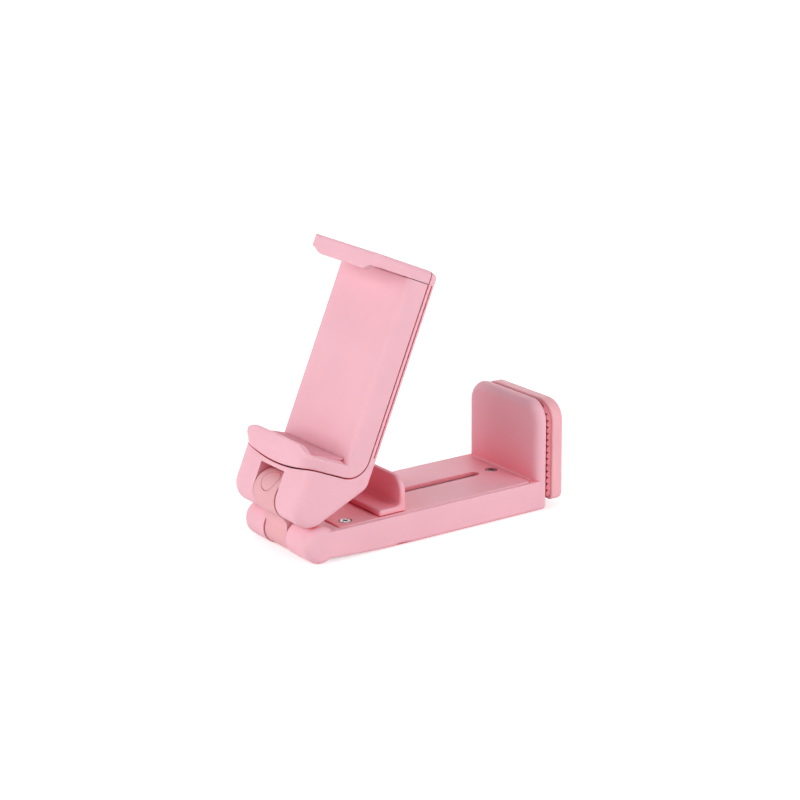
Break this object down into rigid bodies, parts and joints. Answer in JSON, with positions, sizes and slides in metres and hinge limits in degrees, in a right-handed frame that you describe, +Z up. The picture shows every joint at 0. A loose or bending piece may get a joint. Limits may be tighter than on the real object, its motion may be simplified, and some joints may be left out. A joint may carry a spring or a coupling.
{
  "type": "folding phone holder",
  "caption": "Folding phone holder: a bar with a sprung table clamp at one end, joined by a double hinge link to a tilting clip whose sprung upper lip grips a phone.",
  "frame": {"origin": "on the standing surface, below the middle of the base bar", "axes": "+X runs along the bar from the hinge end to the clamp jaw, +Y across the bar, +Z up from the standing surface"},
  "size_m": [0.1054, 0.038, 0.0957],
  "materials": {
    "pink_plastic": "satin moulded, pale pink",
    "peach_plastic": "satin moulded, a shade warmer pink",
    "soft_rubber": "matt silicone, pink",
    "washer_plastic": "slick natural plastic",
    "steel": "bright zinc"
  },
  "bodies": {
    "base": {"base_housing": "pink_plastic", "base_cover": "pink_plastic", "cover_screws": "steel", "fixed_jaw_pad": "soft_rubber", "base_hinge_pin": "steel", "base_hinge_washers": "washer_plastic", "jaw_springs": "steel"},
    "jaw": {"movable_jaw": "peach_plastic", "jaw_pad": "soft_rubber", "finger_slider": "pink_plastic", "slider_screw": "steel"},
    "link": {"hinge_link": "peach_plastic", "link_plug": "peach_plastic"},
    "clip": {"clip_frame": "pink_plastic", "clip_front": "pink_plastic", "clip_screws": "steel", "clip_hinge_pin": "steel", "clip_hinge_washers": "washer_plastic", "lower_lip_pad": "soft_rubber", "clip_springs": "steel"},
    "upper_jaw": {"upper_jaw": "pink_plastic", "upper_lip_pad": "soft_rubber"}
  },
  "joints": [
    {"name": "jaw_slide", "type": "slide", "parent": "base", "child": "jaw", "axis": [1, 0, 0], "range_m": [0, 0.041], "stiffness_N_per_m": 250, "springref_m": -0.02, "deforming": ["jaw_springs"]},
    {"name": "base_hinge", "type": "hinge", "parent": "base", "child": "link", "pos_m": [-0.044, 0, 0.006], "axis": [0, 1, 0], "range_deg": [-90, 5]},
    {"name": "clip_hinge", "type": "hinge", "parent": "link", "child": "clip", "pos_m": [-0.0469, 0, 0.0189], "axis": [0, 1, 0], "range_deg": [-100, 15]},
    {"name": "upper_jaw_slide", "type": "slide", "parent": "clip", "child": "upper_jaw", "axis": [0.3955, 0, 0.9184], "range_m": [0, 0.025], "stiffness_N_per_m": 200, "springref_m": -0.02, "deforming": ["clip_springs"]}
  ]
}
